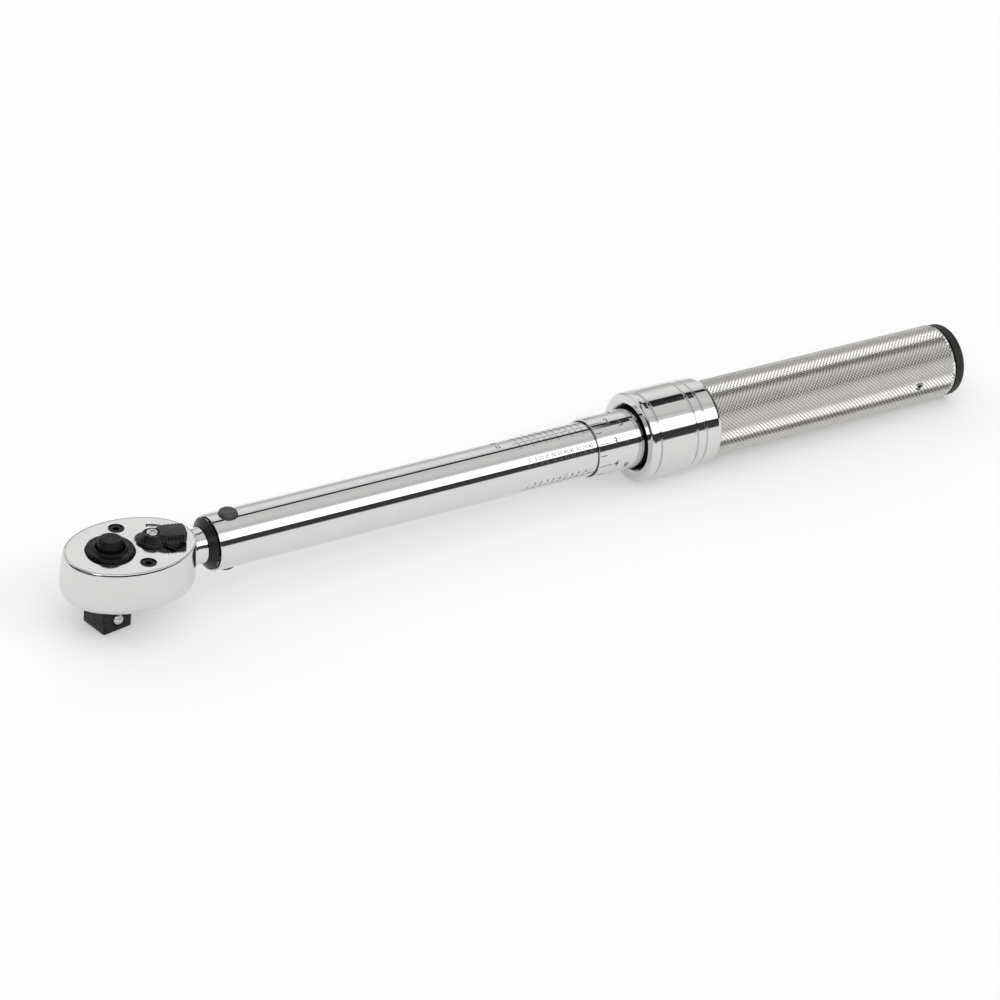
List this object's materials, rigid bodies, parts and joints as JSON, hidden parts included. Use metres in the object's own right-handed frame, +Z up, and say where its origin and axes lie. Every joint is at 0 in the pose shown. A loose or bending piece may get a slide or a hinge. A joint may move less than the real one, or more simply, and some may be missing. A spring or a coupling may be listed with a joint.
{
  "type": "click torque wrench",
  "caption": "Click-type torque wrench: reversible ratchet head with square drive, chromed tube, micrometer thimble, pull-back lock collar and knurled grip.",
  "frame": {"origin": "middle of the tip face of the drive square", "axes": "+X along the tube from the drive towards the grip, +Z up, the drive square points along -Z"},
  "size_m": [0.2976, 0.029, 0.0307],
  "materials": {
    "polished_chrome": "mirror-polished chrome plate",
    "satin_chrome": "satin chrome plate",
    "black_oxide": "black oxide on steel, slightly oily sheen",
    "bright_steel": "ground bright steel",
    "spring_steel": "dark drawn spring wire",
    "bronze": "machined bronze",
    "black_rubber": "matte moulded rubber",
    "black_plastic": "fine-grained moulded plastic"
  },
  "bodies": {
    "tube": {"tube": "polished_chrome", "pivot_pin": "black_oxide", "lead_nut": "bronze", "main_spring": "spring_steel"},
    "head": {"head_body": "polished_chrome", "cover_plate": "satin_chrome", "cover_screw_1": "black_oxide", "cover_screw_2": "black_oxide", "neck_boot": "black_rubber", "detent_spring": "spring_steel"},
    "detent": {"detent_ball": "bright_steel"},
    "drive": {"drive_gear": "black_oxide", "button_spring": "spring_steel"},
    "button": {"release_button": "black_oxide"},
    "socket_ball": {"retaining_ball": "bright_steel"},
    "lever": {"reversing_lever": "black_oxide", "lever_screw": "bright_steel"},
    "pawl": {"pawl": "black_oxide"},
    "plunger": {"plunger": "bright_steel"},
    "block": {"tilt_block": "bright_steel"},
    "seat": {"spring_seat": "bright_steel", "thrust_ball": "bright_steel"},
    "grip": {"grip": "satin_chrome", "thimble": "polished_chrome", "adjusting_screw": "bright_steel", "grip_pin": "spring_steel", "end_cap": "black_plastic", "lock_spring": "spring_steel"},
    "collar": {"lock_collar": "polished_chrome", "spring_washer": "bright_steel"},
    "lock_ball_1": {"lock_ball_1": "bright_steel"},
    "lock_ball_2": {"lock_ball_2": "bright_steel"},
    "lock_ball_3": {"lock_ball_3": "bright_steel"}
  },
  "joints": [
    {"name": "head_pivot", "type": "hinge", "parent": "tube", "child": "head", "pos_m": [0.0356, 0, 0.0175], "axis": [0, 0, 1], "range_deg": [-2.5, 2.5], "stiffness_Nm_per_rad": 40},
    {"name": "drive_spin", "type": "hinge", "parent": "head", "child": "drive", "pos_m": [0, 0, 0.0175], "axis": [0, 0, 1], "continuous": true},
    {"name": "button_press", "type": "slide", "parent": "drive", "child": "button", "axis": [0, 0, -1], "range_m": [0, 0.0016], "stiffness_N_per_m": 800, "springref_m": -0.001, "deforming": ["button_spring"]},
    {"name": "ball_retract", "type": "slide", "parent": "drive", "child": "socket_ball", "axis": [-0.1736, 0.9848, 0], "range_m": [0, 0.0007]},
    {"name": "lever_swing", "type": "hinge", "parent": "head", "child": "lever", "pos_m": [0.01255, 0, 0.0175], "axis": [0, 0, 1], "range_deg": [0, 30]},
    {"name": "pawl_rock", "type": "hinge", "parent": "head", "child": "pawl", "pos_m": [0.01255, 0, 0.0175], "axis": [0, 0, 1], "range_deg": [0, 16.2]},
    {"name": "detent_slide", "type": "slide", "parent": "head", "child": "detent", "axis": [1, 0, 0], "range_m": [0, 0.0004], "stiffness_N_per_m": 500, "springref_m": -0.0005, "deforming": ["detent_spring"]},
    {"name": "plunger_slide", "type": "slide", "parent": "tube", "child": "plunger", "axis": [1, 0, 0], "range_m": [0, 0.0015], "stiffness_N_per_m": 10000, "springref_m": -0.002},
    {"name": "block_tilt", "type": "hinge", "parent": "plunger", "child": "block", "pos_m": [0.077, 0, 0.0175], "axis": [0, 0, 1], "range_deg": [-14.25, 14.25]},
    {"name": "grip_slide", "type": "slide", "parent": "tube", "child": "seat", "axis": [-1, 0, 0], "range_m": [-0.00212, 0.02328], "deforming": ["main_spring"]},
    {"name": "grip_turn", "type": "hinge", "parent": "seat", "child": "grip", "pos_m": [0.2, 0, 0.0175], "axis": [-1, 0, 0], "range_deg": [-360.5, 3960.5]},
    {"name": "collar_slide", "type": "slide", "parent": "grip", "child": "collar", "axis": [1, 0, 0], "range_m": [0, 0.003], "stiffness_N_per_m": 1500, "springref_m": -0.002, "deforming": ["lock_spring"]},
    {"name": "lock_ball_1_lift", "type": "slide", "parent": "grip", "child": "lock_ball_1", "axis": [0, 0, 1], "range_m": [0, 0.00036]},
    {"name": "lock_ball_2_lift", "type": "slide", "parent": "grip", "child": "lock_ball_2", "axis": [0, -0.866, -0.5], "range_m": [0, 0.00036]},
    {"name": "lock_ball_3_lift", "type": "slide", "parent": "grip", "child": "lock_ball_3", "axis": [0, 0.866, -0.5], "range_m": [0, 0.00036]}
  ],
  "couplings": [
    {"joint": "ball_retract", "follows": "button_press", "ratio": 0.4375},
    {"joint": "pawl_rock", "follows": "lever_swing", "ratio": 0.54},
    {"joint": "block_tilt", "follows": "head_pivot", "ratio": -5.7},
    {"joint": "grip_turn", "follows": "grip_slide", "rad_per_m": 2968.4},
    {"joint": "lock_ball_1_lift", "follows": "collar_slide", "ratio": 0.116},
    {"joint": "lock_ball_2_lift", "follows": "collar_slide", "ratio": 0.116},
    {"joint": "lock_ball_3_lift", "follows": "collar_slide", "ratio": 0.116}
  ]
}
